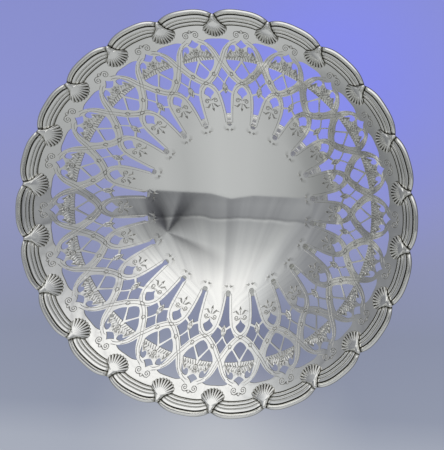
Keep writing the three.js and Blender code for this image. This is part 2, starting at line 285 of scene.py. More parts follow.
# Fields of carved leaves, and the leaves themselves: root, tip and half width in millimetres
GARLAND = [
    (-8, 12.6), (10, 12.8), (22, 15.4), (33, 16.6), (43, 15.6), (52, 15.8), (62, 19.4), (70, 22), (60, 21.8),
    (45, 21), (30, 20.7), (10, 20.4), (-8, 20.3),
]
BUD = [(108, 52.4), (97, 52), (90, 54), (87, 57), (90, 60), (96, 63), (108, 63.6)]
LEAVES = [
    *[
        ((5 + 10 * i, 20.5 + 0.3 * i), (13 + 10.5 * i, tip), 0.85)
        for i, tip in enumerate((13, 14.8, 15.6, 15.4, 17.4))
    ],
    ((56, 21.6), (73, 22.8), 0.7),
    ((100, 64.4), (100, 52), 0.75),
    ((98, 62.4), (89, 53.6), 0.7),
    ((98, 63), (87, 58.4), 0.55),
    ((0, 20.5), (0, 26), 0.9),
    ((0, 15.2), (0, 11.6), 0.8),
    *[((0, 17.8), (15 * math.sin(turn), 17.8 + 3.7 * math.cos(turn)), 0.62) for turn in (0.5, 1.3, 2.1, 2.9)],
]


def bent_line(form, start, rows, step):
    """Points in plan from start through the rows, spaced by about a step. The start itself is left out."""
    points = []
    here = start
    for row in rows:
        end = row[-2:]
        bend = row[:2] if len(row) == 4 else ((here[0] + end[0]) / 2, (here[1] + end[1]) / 2)
        run = (form.plan(*bend) - form.plan(*here)).length + (form.plan(*end) - form.plan(*bend)).length
        count = max(1, round(run / step))
        for i in range(1, count + 1):
            t = i / count
            weights = ((1 - t) ** 2, 2 * t * (1 - t), t**2)
            across, down = (sum(w * p[k] for w, p in zip(weights, (here, bend, end))) for k in (0, 1))
            points.append(form.plan(across, down))
        here = end
    return points


def cut_line(form, cut, step):
    return [form.plan(*cut[0]), *bent_line(form, cut[0], cut[1:], step)]


def smooth_line(form, rows, step):
    """A smooth curve in plan through the rows."""
    return catmull_rom([form.plan(*row) for row in rows], step)


def catmull_rom(knots, step):
    """A smooth curve through the knots, closed if they end where they start, with nearly even steps."""
    closed = (knots[0] - knots[-1]).length < 1e-6
    before = knots[-2] if closed else 2 * knots[0] - knots[1]
    after = knots[1] if closed else 2 * knots[-1] - knots[-2]
    knots = [before, *knots, after]
    points = [knots[1]]
    for a, b, c, d in zip(knots, knots[1:], knots[2:], knots[3:]):
        count = max(1, round((c - b).length / step))
        for i in range(1, count + 1):
            t = i / count
            points.append(0.5 * (
                2 * b + (c - a) * t + (2 * a - 5 * b + 4 * c - d) * t**2 + (3 * b - a - 3 * c + d) * t**3
            ))
    return points


def scroll_line(form, across, down, outer, inner, start, sweep, step):
    centre = form.plan(across, down)
    count = max(8, round(math.radians(abs(sweep)) * (outer + inner) / 2 / step))
    points = []
    for i in range(count + 1):
        share = i / count
        angle = math.radians(start + sweep * share)
        radius = outer + (inner - outer) * share
        points.append(centre + polar(radius, angle))
    return points


def sideways(points, distance):
    """The line that lies beside another by a distance."""
    moved = []
    for i, point in enumerate(points):
        along = (points[min(i + 1, len(points) - 1)] - points[max(i - 1, 0)]).normalized()
        moved.append(point + distance * Vector((-along.y, along.x)))
    return moved


def strap_lines(form, step):
    """The lines engraved along the straps of half a lobe, finely stepped."""
    lines = []
    for apart, rows in STRAPS:
        centre = smooth_line(form, rows, step)
        lines += [sideways(centre, apart), sideways(centre, -apart)]
    return lines


def ornament_lines(form, step):
    """The other engraved lines of half a lobe, finely stepped."""
    lines = [smooth_line(form, rows, step) for rows in [*STROKES.values(), *GARLAND_GAPS]]
    return lines + [scroll_line(form, *scroll, step) for scroll in SCROLLS]


def nearest_to(points):
    tree = KDTree(len(points))
    for i, point in enumerate(points):
        tree.insert((point.x, point.y, 0), i)
    tree.balance()
    return lambda p: tree.find((p.x, p.y, 0))[2]


def clear_runs(lines, clear, least):
    """The stretches of the lines that are clear, each at least so many points long."""
    runs = []
    for line in lines:
        run = []
        for point in [*line, None]:
            if point is not None and clear(point):
                run.append(point)
                continue
            if len(run) >= least:
                runs.append(run)
            run = []
    return runs


def half_lobe_outline(form, step):
    """The metal of half a lobe as closed loops in plan: its outer outline, then its inner cuts."""
    outer = [form.plan(0, 0).normalized() * (form.edge(0) - form.setback)]
    for cut in CREST_CUTS.values():
        outer += cut_line(form, cut, step)
    seam_steps = 4
    outer += [polar(form.seam, form.half * i / seam_steps) for i in range(seam_steps + 1)]
    for cut in CUSP_CUTS.values():
        outer += cut_line(form, cut, step)
    rim_steps = 16
    for i in range(rim_steps, 0, -1):
        outer.append(polar(form.edge(i / rim_steps) - form.setback, form.half * i / rim_steps))
    inner = [bent_line(form, cut[0], cut[1:], step) for cut in INNER_CUTS.values()]
    longest = 1.2
    return [leftward(sampled(loop, longest)) for loop in (outer, *inner)]


def leftward(loop):
    """A closed loop in plan in the order that keeps its inside on the left."""
    area = sum(a.x * b.y - b.x * a.y for a, b in zip(loop, [*loop[1:], loop[0]]))
    return loop if area > 0 else loop[::-1]


def sampled(loop, step, closed=True):
    points = []
    ends = [*loop[1:], loop[0]] if closed else loop[1:]
    for a, b in zip(loop, ends):
        count = max(1, round((b - a).length / step))
        points += [a.lerp(b, i / count) for i in range(count)]
    return points


class Chasing:
    """The engraving and carving of half a lobe, as the height and shade of the sheet at a point in plan."""

    LIGHT_CUT = 0.66  # depth and shade of a strap's line, to those of the other lines
    RIB_WIDTH = 0.22  # half width of the hollow along a leaf, in millimetres
    RIB_CUT = 0.45  # its depth, to the leaf's height
    GROUND = 0.25  # how far the ground between the leaves is sunk, to the leaves' height
    GROUND_SHADE = 0.6

    def __init__(self, form, sizes, light, deep, fine):
        self.sizes = sizes
        self.light_distance = nearest_to([p for line in light for p in line])
        self.deep_distance = nearest_to([p for line in deep for p in line])
        self.fields = [smooth_line(form, rows, fine) for rows in (GARLAND, BUD)]
        self.leaves = [(form.plan(*root), form.plan(*tip), half) for root, tip, half in LEAVES]

    def carved(self, point):
        return any(holds(field, point) for field in self.fields)

    def leaf(self, point):
        """Height of the highest leaf at a point, from 0 to 1."""
        highest = 0.0
        for root, tip, half in self.leaves:
            axis = tip - root
            along = (point - root).dot(axis) / axis.length_squared
            if not 0 < along < 1:
                continue
            aside = abs((point - root).cross(axis)) / axis.length
            room = half * math.sqrt(4 * along * (1 - along)) ** 0.8
            if aside < room:
                rib = self.RIB_CUT * max(0, 1 - aside / self.RIB_WIDTH)
                highest = max(highest, math.sqrt(1 - (aside / room) ** 2) * (1 - rib))
        return highest

    def at(self, point):
        light = self.LIGHT_CUT * (1 - 2 * self.light_distance(point) / self.sizes.strap_line)
        cut = max(0.0, light, 1 - 2 * self.deep_distance(point) / self.sizes.line_width)
        if not self.carved(point):
            return -self.sizes.line_depth * cut, cut
        leaf = self.leaf(point)
        relief = self.sizes.carving_height * (leaf - self.GROUND) - self.sizes.line_depth * cut
        return relief, max(cut, self.GROUND_SHADE * (1 - leaf) ** 1.3)


def grid_points(low, high, half, spacing):
    """Points of a triangular grid in plan over half a lobe, between two radii."""
    points = []
    row_height = 0.87
    rows = math.ceil((high - low) / (spacing * row_height))
    for row in range(1, rows):
        radius = low + row * spacing * row_height
        count = max(1, round(half * radius / spacing))
        points += [polar(radius, half * min((i + 0.5 * (row % 2)) / count, 1)) for i in range(count + 1)]
    return points


def flat_half_lobe(form, sizes):
    """Half a lobe of the bowl, flat in plan, with its piercing cut out and its engraving laid in as edges.

    Returns a bmesh with a relief layer, the height of each point off the sheet, and a cut layer that is 1 at
    the bottom of a cut.
    """
    fine = 0.12
    shortest_run = 8
    wall_step = 2.6
    rim_margin = 0.6
    step = sizes.outline_step
    loops = half_lobe_outline(form, step)
    groups = (CREST_CUTS, CUSP_CUTS, INNER_CUTS)
    cuts = [cut_line(form, cut, step) for group in groups for cut in group.values()]
    cut_distance = nearest_to([point for cut in cuts for point in sampled(cut, fine, closed=False)])
    light, deep = (
        clear_runs(lines, lambda p: cut_distance(p) > sizes.line_clearance, shortest_run)
        for lines in (strap_lines(form, fine), ornament_lines(form, fine))
    )
    chasing = Chasing(form, sizes, light, deep, fine)

    points = []
    edges = []
    faces = []
    for loop in loops:
        faces.append(list(range(len(points), len(points) + len(loop))))
        points += loop
    stride = max(1, round(step * 0.9 / fine))
    widths = [sizes.strap_line] * len(light) + [sizes.line_width] * len(deep)
    for line, width in zip(light + deep, widths):
        stations = [*line[:-1:stride], line[-1]]
        for side in (-0.5, 0, 0.5):
            moved = sideways(stations, side * width)
            first = len(points)
            points += moved
            edges += [(first + i, first + i + 1) for i in range(len(moved) - 1)]

    for spacing in (sizes.carving_step, wall_step):
        taken = nearest_to(points)
        for point in grid_points(form.seam, form.crest_radius, form.half, spacing):
            across = math.atan2(point.y, point.x) / form.half
            inside_rim = point.length < form.edge(across) - form.setback - rim_margin
            wanted = spacing == wall_step or chasing.carved(point)
            if taken(point) > 0.55 * spacing and inside_rim and wanted:
                points.append(point)

    made = delaunay_2d_cdt(points, edges, faces, 0, 1e-5)
    bm = bmesh.new()
    relief = bm.verts.layers.float.new("relief")
    cut = bm.verts.layers.float.new("cut")
    for point in made[0]:
        vert = bm.verts.new((point.x, point.y, 0))
        vert[relief], vert[cut] = chasing.at(point)
    bm.verts.ensure_lookup_table()
    for face, owners in zip(made[2], made[5]):
        if list(owners) == [0]:
            bm.faces.new([bm.verts[i] for i in face])
    bmesh.ops.delete(bm, geom=[v for v in bm.verts if not v.link_faces], context="VERTS")
    return bm


def holds(loop, point):
    """Whether a closed loop in plan goes round a point."""
    inside = False
    for a, b in zip(loop, [*loop[1:], loop[0]]):
        if (a.y > point.y) != (b.y > point.y):
            if point.x < a.x + (point.y - a.y) / (b.y - a.y) * (b.x - a.x):
                inside = not inside
    return inside


def flat_bowl(form, sizes):
    """The whole bowl flat in plan: half a lobe mirrored, turned round the centre and closed by the well."""
    bm = flat_half_lobe(form, sizes)
    everything = bm.verts[:] + bm.edges[:] + bm.faces[:]
    bmesh.ops.mirror(bm, geom=everything, matrix=Matrix.Identity(4), merge_dist=0.002, axis="Y")
    everything = bm.verts[:] + bm.edges[:] + bm.faces[:]
    turn = 2 * math.pi / form.lobes
    bmesh.ops.spin(
        bm, geom=everything, cent=(0, 0, 0), axis=(0, 0, 1),
        angle=turn * (form.lobes - 1), steps=form.lobes - 1, use_duplicate=True,
    )
    ring_steps = 8 * form.lobes
    rings = 14
    spoke = [bm.verts.new((form.seam * (1 - i / rings), 0, 0)) for i in range(rings + 1)]
    spoke_edges = [bm.edges.new(pair) for pair in zip(spoke, spoke[1:])]
    bmesh.ops.spin(
        bm, geom=spoke + spoke_edges, cent=(0, 0, 0), axis=(0, 0, 1), angle=2 * math.pi, steps=ring_steps,
        use_merge=True,
    )
    bmesh.ops.remove_doubles(bm, verts=bm.verts[:], dist=0.004)
    for face in bm.faces:
        if face.normal.z < 0:
            face.normal_flip()
    return bm


def new_verts(grown):
    return {element for element in grown["geom"] if isinstance(element, bmesh.types.BMVert)}


def close_up(bm, doubles):
    """Merge doubles, fill the open ends and turn the faces outwards, smooth shaded."""
    bmesh.ops.remove_doubles(bm, verts=bm.verts[:], dist=doubles)
    bmesh.ops.holes_fill(bm, edges=[edge for edge in bm.edges if edge.is_boundary], sides=0)
    bmesh.ops.recalc_face_normals(bm, faces=bm.faces[:])
    for face in bm.faces:
        face.smooth = True


def finish_mesh(name, bm, material, node, sharp=None):
    """Turn a bmesh in millimetres into a piece that rides on the body and stands for a CAD node. Edges over
    the sharp angle, in degrees, aren't shaded smooth."""
    if not all(edge.is_manifold for edge in bm.edges):
        raise RuntimeError(f"{name} isn't closed")
    bmesh.ops.scale(bm, vec=(MM, MM, MM), verts=bm.verts)
    mesh = bpy.data.meshes.new(name)
    bm.to_mesh(mesh)
    bm.free()
    mesh.materials.append(material)
    piece = bpy.data.objects.new(name, mesh)
    bpy.context.scene.collection.objects.link(piece)
    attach(piece, BODY)
    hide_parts(node)
    if sharp:
        mesh.set_sharp_from_angle(angle=math.radians(sharp))
    return piece


# Materials


def add_node(tree, kind, settings=None, links=None):
    """Add a node, set its properties and input values by name, and link inputs from other sockets."""
    node = tree.nodes.new(kind)
    for key, value in (settings or {}).items():
        if key in node.inputs:
            node.inputs[key].default_value = value
        else:
            setattr(node, key, value)
    for key, source in (links or {}).items():
        tree.links.new(source, node.inputs[key])
    return node


def blend(tree, kind, *values):
    """Blend two colours by a factor, each given as a value or as a socket, and return the colour socket."""
    node = add_node(tree, "ShaderNodeMix", {"data_type": "RGBA", "blend_type": kind})
    for socket, value in zip([socket for socket in node.inputs if socket.enabled], values):
        if isinstance(value, bpy.types.NodeSocket):
            tree.links.new(value, socket)
        else:
            socket.default_value = value
    return next(socket for socket in node.outputs if socket.enabled)


def ramp(tree, source, stops, low=-1.0, high=1.0):
    """A colour ramp over a socket, with stops of a value from low to high and a colour."""
    node = add_node(tree, "ShaderNodeValToRGB", links={"Fac": spread_out(tree, source, low, high)})
    elements = node.color_ramp.elements
    while len(elements) < len(stops):
        elements.new(0.5)
    for element, (place, stop) in zip(elements, stops):
        element.position = (place - low) / (high - low)
        element.color = linear(stop)
    return node.outputs["Color"]


def calculate(tree, operation, *values):
    """A maths node, each value given as a number or as a socket, and return its result."""
    node = add_node(tree, "ShaderNodeMath", {"operation": operation})
    for socket, value in zip(node.inputs, values):
        if isinstance(value, bpy.types.NodeSocket):
            tree.links.new(value, socket)
        else:
            socket.default_value = value
    return node.outputs["Value"]


def spread_out(tree, source, low, high):
    """Map a socket from low-high to 0-1."""
    node = add_node(tree, "ShaderNodeMapRange", {"From Min": low, "From Max": high}, {"Value": source})
    return node.outputs["Result"]


def from_point(tree, x, y, point):
    """The distance of two coordinates from a point of their plane."""
    squares = [
        calculate(tree, "POWER", calculate(tree, "SUBTRACT", *pair), 2.0) for pair in zip((x, y), point)
    ]
    return calculate(tree, "SQRT", calculate(tree, "ADD", *squares))


def cleared(owner):
    """A new material's or world's node tree, emptied."""
    owner.use_nodes = True
    owner.node_tree.nodes.clear()
    return owner.node_tree


def polished_silver(name, roughness, ripple, bloom=0.0):
    """Sterling silver, hand polished: a bright neutral mirror with faint ripples from the hammer and fine
    wheel marks. A shade attribute blends in a dark grey-brown: partly the film left in the cuts where the
    polishing mop can't reach, partly painted shade in grooves, creases, sawn edges and under the shells'
    lips.
    A bloom is a thin matte haze of polish over the whole."""
    finish = bpy.context.scene.tazza_finish
    material = bpy.data.materials.new(name)
    tree = cleared(material)
    place = add_node(tree, "ShaderNodeTexCoord").outputs["Object"]
    marks = {"Scale": 900.0, "Detail": 3.0, "Roughness": 0.6}
    wheel = add_node(tree, "ShaderNodeTexNoise", marks, {"Vector": place})
    hammer = add_node(tree, "ShaderNodeTexNoise", {"Scale": 42.0, "Detail": 1.0}, {"Vector": place})
    shade = add_node(tree, "ShaderNodeAttribute", {"attribute_name": "shade"})
    spread = {"From Min": 0.3, "From Max": 0.7, "To Min": roughness * 0.7, "To Max": roughness * 1.3}
    dulled = add_node(tree, "ShaderNodeMapRange", spread, {"Value": wheel.outputs["Fac"]})
    # The shade attribute blends the silver towards the dark colour: painted shade, and patina in the cuts
    shaded_silver = blend(tree, "MIX", shade.outputs["Fac"], finish.silver, finish.shade_and_patina)
    bump = add_node(
        tree, "ShaderNodeBump", {"Strength": 1.0, "Distance": ripple}, {"Height": hammer.outputs["Fac"]}
    )
    surface = add_node(
        tree, "ShaderNodeBsdfPrincipled", {"Metallic": 1.0 - bloom},
        {"Base Color": shaded_silver, "Roughness": dulled.outputs["Result"], "Normal": bump.outputs["Normal"]},
    )
    add_node(tree, "ShaderNodeOutputMaterial", links={"Surface": surface.outputs["BSDF"]})
    return material


# The paper sweep's colours, from the picture's foot to its top: distance towards +Y in metres, and colour.
# The darker stops from -0.145 to -0.09 are painted shade beneath the bowl's lower rim.
FLOOR_COLOURS = [
    (-0.24, "#BDC2CE"), (-0.172, "#B4BAC8"), (-0.145, "#9EA5B8"), (-0.09, "#979EB6"), (0.0, "#9DA2D0"),
    (0.07, "#999FE0"), (0.18, "#9399DC"),
]
FLOOR_REACH = 0.3
# The grey that the floor glows with for glossy rays: painted light in what the silver mirrors
FLOOR_MIRRORED = "#84847E"
# Soft round patches of painted light and shadow on it: X, Y and radius in metres, how it blends and its
# studio colour
FLOOR_PATCHES = [
    (0.06, 0.09, 0.15, "MIX", "painted_lamp_light"),
    (0.0, 0.0, 0.125, "ADD", "painted_under_light"),
    (0.01, -0.11, 0.066, "MIX", "painted_soft_shadow"),
    (-0.01, -0.185, 0.11, "MIX", "painted_pool_of_light"),
]


def floor_paper(name):
    """Matte paper sweep, grey at the picture's foot and periwinkle towards its top, with painted light and
    shade:
    a brighter patch for a coloured lamp's light, light under the pierced bowl, a pale pool thrown by the
    silver and a soft shadow below the bowl. Part of its colour is glow, so that the shadow on it stays soft."""
    studio = bpy.context.scene.tazza_studio
    material = bpy.data.materials.new(name)
    tree = cleared(material)
    place = add_node(tree, "ShaderNodeTexCoord").outputs["Object"]
    parts = add_node(tree, "ShaderNodeSeparateXYZ", links={"Vector": place})
    shown = ramp(tree, parts.outputs["Y"], FLOOR_COLOURS, -FLOOR_REACH, FLOOR_REACH)
    for patch_x, patch_y, radius, kind, key in FLOOR_PATCHES:
        distance = from_point(tree, parts.outputs["X"], parts.outputs["Y"], (patch_x, patch_y))
        inside = calculate(tree, "POWER", spread_out(tree, distance, radius, 0.2 * radius), 1.3)
        shown = blend(tree, kind, inside, shown, getattr(studio, key))
    matte = add_node(tree, "ShaderNodeBsdfDiffuse", links={"Color": shown})
    rays = add_node(tree, "ShaderNodeLightPath").outputs
    seen = calculate(tree, "MAXIMUM", rays["Is Camera Ray"], rays["Is Glossy Ray"])
    # For glossy rays the floor glows grey, a painted light in the silver's reflections
    mirrored = blend(tree, "MIX", rays["Is Glossy Ray"], shown, linear(FLOOR_MIRRORED))
    glow = add_node(tree, "ShaderNodeEmission", {"Strength": 1.0}, {"Color": mirrored})
    glowing = calculate(tree, "MULTIPLY", seen, studio.floor_glow)
    both = add_node(
        tree, "ShaderNodeMixShader", links={0: glowing, 1: matte.outputs["BSDF"], 2: glow.outputs["Emission"]}
    )
    add_node(tree, "ShaderNodeOutputMaterial", links={"Surface": both.outputs["Shader"]})
    return material


# What stands round the tazza, as the silver shows it. A direction's X and Y run from -1 to 1. On the -Y side
# is a plain table, and above its far edge hangs a white cloth tent, gathered into folds at one point.
TENT_HEIGHTS = [
    (-0.2, "#8E9094"), (-0.12, "#989A9E"), (-0.03, "#929498"), (-0.012, "#76787C"), (0.0, "#BFC1C3"),
    (0.018, "#A4A6A9"), (0.18, "#BCBEC0"), (0.34, "#E2E3E4"), (0.46, "#FBFBFB"), (0.6, "#FFFFFF"),
]
TENT_SIDES = [
    (-1.0, "#86888C"), (-0.8, "#93959A"), (-0.6, "#B0B2B5"), (-0.45, "#DADCDE"), (-0.3, "#FFFFFF"),
    (0.52, "#FFFFFF"), (0.72, "#CCCDD0"), (0.86, "#A8AAAD"), (1.0, "#9A9CA0"),
]
TABLE_SIDES = [
    (-0.9, "#86888A"), (-0.75, "#96989A"), (-0.6, "#ACAEB0"), (-0.35, "#BABCBE"), (-0.12, "#BEC0C2"),
    (0.0, "#B8BABC"), (0.14, "#AFB1B3"), (0.3, "#B6B8BA"), (0.6, "#ACAEB0"), (0.9, "#A0A2A4"),
]
# The table's edge: the band in Y over which it blurs, its slant, and the X, half width and depth of its bend
TABLE_EDGE = (-0.209, -0.201)
TABLE_SLANT = 0.04
TABLE_BEND = (-0.2, 0.17, -0.035)
# Below the level of the floor
BELOW = "#63656C"
BELOW_EDGE = (-0.02, 0.16)
BACKDROP = "#C9CEE6"
# Folds round the gather: turn from the -X direction through -Y, 0 to 1, and how bright the cloth is there
GATHER = (0.296, 0.111)
GATHER_REACH = (0.55, 0.12)
GATHER_FOLDS = [
    (0.0, "#E8E8E8"), (0.12, "#B8B8B8"), (0.155, "#6A6A6E"), (0.19, "#74747A"), (0.215, "#E0E0E0"),
    (0.25, "#C8C8C8"), (0.29, "#76767A"), (0.34, "#84848A"), (0.4, "#D8D8D8"), (0.6, "#E4E4E4"),
    (0.7, "#FFFFFF"), (0.86, "#F4F4F4"), (0.925, "#A8A8AA"), (0.95, "#F8F8F8"), (1.0, "#E8E8E8"),
]
# Where the long folds of the cloth hang from, and how bright they are
HANG = (-0.16, 0.95)
STREAKS = [(0.3, "#DADADC"), (0.5, "#F6F6F7"), (0.66, "#FFFFFF")]


def wavy(tree, source, scale, detail, **settings):
    """One-dimensional noise over a socket."""
    settings = {"noise_dimensions": "1D", "Scale": scale, "Detail": detail, **settings}
    return add_node(tree, "ShaderNodeTexNoise", settings, {"W": source}).outputs["Fac"]


def studio_world(name):
    """A table and a gathered cloth tent round the tazza, and a plain backdrop for the camera."""
    world = bpy.data.worlds.new(name)
    tree = cleared(world)
    place = add_node(tree, "ShaderNodeTexCoord").outputs["Generated"]
    parts = add_node(tree, "ShaderNodeSeparateXYZ", links={"Vector": place})
    x, y, z = (parts.outputs[axis] for axis in "XYZ")

    bend_x, bend_half, bend_depth = TABLE_BEND
    from_bend = calculate(tree, "ABSOLUTE", calculate(tree, "SUBTRACT", x, bend_x))
    bend = calculate(tree, "MULTIPLY", spread_out(tree, from_bend, bend_half, 0.0), bend_depth)
    from_edge = calculate(tree, "ADD", calculate(tree, "MULTIPLY_ADD", x, TABLE_SLANT, y), bend)
    above_table = spread_out(tree, from_edge, *TABLE_EDGE)
    wander = calculate(tree, "SUBTRACT", wavy(tree, x, 3.4, 2.0), 0.5)
    heights = ramp(tree, calculate(tree, "MULTIPLY_ADD", wander, 0.07, y), TENT_HEIGHTS)
    sides = ramp(tree, x, TENT_SIDES)

    from_x, from_y = (calculate(tree, "SUBTRACT", *pair) for pair in zip((x, y), GATHER))
    turn = calculate(tree, "ADD", calculate(tree, "ARCTAN2", from_y, from_x), math.pi)
    gathered = ramp(tree, calculate(tree, "DIVIDE", turn, 2 * math.pi), GATHER_FOLDS, 0.0, 1.0)
    near = calculate(tree, "POWER", spread_out(tree, from_point(tree, x, y, GATHER), *GATHER_REACH), 0.8)

    hang_x, hang_y = HANG
    aside = calculate(tree, "SUBTRACT", x, hang_x)
    hang = calculate(tree, "DIVIDE", aside, calculate(tree, "SUBTRACT", hang_y, y))
    streaks = ramp(tree, wavy(tree, hang, 7.0, 3.0, Roughness=0.6), STREAKS, 0.0, 1.0)

    tent = blend(tree, "DARKEN", 1.0, heights, sides)
    tent = blend(tree, "MULTIPLY", near, tent, gathered)
    tent = blend(tree, "MULTIPLY", 1.0, tent, streaks)
    seen = blend(tree, "MIX", above_table, ramp(tree, x, TABLE_SIDES), tent)
    shown = blend(tree, "MIX", spread_out(tree, z, *BELOW_EDGE), linear(BELOW), seen)

    surroundings = add_node(tree, "ShaderNodeBackground", {"Strength": 1.0}, {"Color": shown})
    backdrop = add_node(tree, "ShaderNodeBackground", {"Color": linear(BACKDROP), "Strength": 1.0})
    camera_ray = add_node(tree, "ShaderNodeLightPath").outputs["Is Camera Ray"]
    both = add_node(
        tree, "ShaderNodeMixShader",
        links={0: camera_ray, 1: surroundings.outputs["Background"], 2: backdrop.outputs["Background"]},
    )
    add_node(tree, "ShaderNodeOutputWorld", links={"Surface": both.outputs["Shader"]})
    return world


# Operators

# A sawn edge is rounded over by the polishing: how dark it is painted as shade, and how far its shading leans
# towards the upper face at its upper and at its lower side
SAWN_SHADE = 0.34
SAWN_LEAN = (-2.0, 0.3)


class TazzaMakeBowl(bpy.types.Operator):
    """Model the raised, pierced and engraved bowl"""

    bl_idname = "tazza.make_bowl"
    bl_label = "Make Bowl"

    def execute(self, context):
        form = BowlForm(context.scene.tazza_bowl)
        bm = flat_bowl(form, in_millimetres(context.scene.tazza_engraving))
        relief = bm.verts.layers.float["relief"]
        cut = bm.verts.layers.float["cut"]
        shade = bm.loops.layers.float.new("shade")
        upper = set(bm.faces)
        grown = bmesh.ops.extrude_face_region(bm, geom=bm.faces[:], use_keep_orig=True)
        lower_verts = new_verts(grown)
        lower = {f for f in grown["geom"] if isinstance(f, bmesh.types.BMFace)}
        for vert in bm.verts:
            radius = math.hypot(vert.co.x, vert.co.y)
            vert.co.z = form.offset(radius, -form.sheet if vert in lower_verts else vert[relief])
        bmesh.ops.recalc_face_normals(bm, faces=bm.faces[:])
        normals = []
        for face in bm.faces:
            face.smooth = True
            worked = any(abs(vert[relief]) > 1e-6 for vert in face.verts)
            for loop in face.loops:
                normal = form.normal(loop.vert.co.x, loop.vert.co.y)
                if face in upper:
                    loop[shade] = loop.vert[cut]
                    normals.append(face.normal.copy() if worked else normal)
                elif face in lower:
                    normals.append(-normal)
                else:
                    # Painted shade on a sawn wall
                    loop[shade] = SAWN_SHADE
                    lean = SAWN_LEAN[loop.vert in lower_verts]
                    normals.append((face.normal + lean * normal).normalized())
        material = polished_silver("polished_sterling_sheet", 0.055, 0.00002)
        piece = finish_mesh("engraved_bowl", bm, material, "pierced_bowl")
        piece.data.normals_split_custom_set(normals)
        return {"FINISHED"}


# The border's section from its outer edge inwards, in millimetres: reeds as centre, half width, rise over
# the base and fullness, and grooves as centre, half width and depth
REEDS = [(1.7, 1.7, 1.6, 1.35), (4.55, 1.15, 0.45, 3), (6.65, 0.85, 0.55, 2.4), (8.7, 0.95, 0.6, 2.4)]
GROOVES = [(0, 0.36, 0.45), (3.3, 0.42, 0.75), (5.75, 0.2, 0.25), (7.65, 0.3, 0.45), (9.8, 0.34, 0.6)]
# The base's height at the outer edge and its fall inwards, and the depth at which a groove is fully darkened
# by painted shade and patina
BASE_HEIGHT = 1.15
BASE_FALL = 0.05
DARK_DEPTH = 0.45
# A length's end: how far it falls away towards the shell, as a length and as a share of its height
END_LENGTH = 1.5
END_FALL = 0.7


def border_section(inward):
    """Height over the sheet and shade of the border at a distance in from its outer edge."""
    height = BASE_HEIGHT - BASE_FALL * inward
    rise = 0.0
    for centre, half, top, fullness in REEDS:
        share = abs(inward - centre) / half
        if share < 1:
            rise = max(rise, top * (1 - share**fullness))
    shade = 0.0
    for centre, half, depth in GROOVES:
        share = abs(inward - centre) / half
        if share < 1:
            rise -= depth * (1 - share**2)
            shade = max(shade, min(1, depth / DARK_DEPTH) * (1 - share**2))
    return height + rise, shade


def border_reach(form, clear, inward):
    """How far across its lobe a line of the border runs before it meets a shell, as a share."""
    solder = 0.06
    across = 1.0
    for _ in range(10):
        radius = form.edge(across) - inward
        across = 1 - (clear(form.cusp - radius) + solder) / (radius * form.half)
    return across


class TazzaMakeBorder(bpy.types.Operator):
    """Model the reeded border, one length to each lobe"""

    bl_idname = "tazza.make_border"
    bl_label = "Make Border"

    def execute(self, context):
        form = BowlForm(context.scene.tazza_bowl)
        sizes = in_millimetres(context.scene.tazza_border)
        width = sizes.width
        clear = shell_half_width(sizes)
        samples = 84
        section = [(0.0, 0.0, 0.0)]
        section += [(width * i / samples, *border_section(width * i / samples)) for i in range(samples + 1)]
        section += [(width, 0.0, 0.0), (0.0, 0.0, 0.0)]
        mitres = [border_reach(form, clear, inward) for inward, _, _ in section]
        material = polished_silver("polished_cast_silver", 0.09, 0.00002)
        for lobe in range(form.lobes):
            bm = bmesh.new()
            shade = bm.verts.layers.float.new("shade")
            bmesh.ops.create_grid(bm, x_segments=30, y_segments=len(section) - 1, size=0.5)
            for vert in bm.verts:
                row = round((vert.co.y + 0.5) * (len(section) - 1))
                inward, up, dark = section[row]
                across = 2 * vert.co.x * mitres[row]
                to_end = (mitres[row] - abs(across)) * (form.cusp - inward) * form.half
                end_fall = max(0.0, 1 - to_end / END_LENGTH) ** 2
                radius = form.edge(across) - inward
                angle = (2 * lobe + across) * form.half
                height = form.offset(radius, sizes.foot_gap + up * (1 - END_FALL * end_fall))
                # The grooves and the creases where a length's end falls away beside a shell are darkened:
                # painted shade, with patina in the grooves
                vert[shade] = 0.8 * max(dark, end_fall)
                vert.co = (radius * math.cos(angle), radius * math.sin(angle), height)
            close_up(bm, 0.01)
            number = f"{lobe + 1:02d}"
            finish_mesh(f"reeded_border_{number}", bm, material, f"border_length_{number}", 50)
        return {"FINISHED"}


class TazzaMakeShells(bpy.types.Operator):
    """Model the cast shells that cover the joints of the border"""

    bl_idname = "tazza.make_shells"
    bl_label = "Make Shells"

    def execute(self, context):
        form = BowlForm(context.scene.tazza_bowl)
        sizes = in_millimetres(context.scene.tazza_border)
        material = bpy.data.materials["polished_cast_silver"]
        columns = 180
        outline = shell_outline(sizes, columns)
        clear = shell_half_width(sizes)
        for lobe in range(form.lobes):
            bm = bmesh.new()
            shade = bm.verts.layers.float.new("shade")
            bmesh.ops.create_grid(bm, x_segments=columns, y_segments=16, size=0.5)
            rim = [edge for edge in bm.edges if edge.is_boundary and is_lip(edge)]
            low = new_verts(bmesh.ops.extrude_edge_only(bm, edges=rim))
            for vert in bm.verts:
                column = round((vert.co.x + 0.5) * columns)
                inward, aside, up, dark = shell_point(sizes, clear, outline[column], vert.co.y + 0.5)
                # Painted shade: the skirt under the lip is fully dark, as a contact shadow round the shell
                vert[shade] = 1.0 if vert in low else dark
                radius = form.cusp - inward
                angle = (2 * lobe + 1) * form.half + aside / radius
                up = SHELL_GAP if vert in low else up
                vert.co = (radius * math.cos(angle), radius * math.sin(angle), form.offset(radius, up))
            close_up(bm, 0.004)
            number = f"{lobe + 1:02d}"
            finish_mesh(f"cast_shell_{number}", bm, material, f"rim_shell_{number}", 55)
        return {"FINISHED"}


# From the sheet to a shell's underside, in millimetres
SHELL_GAP = 0.02
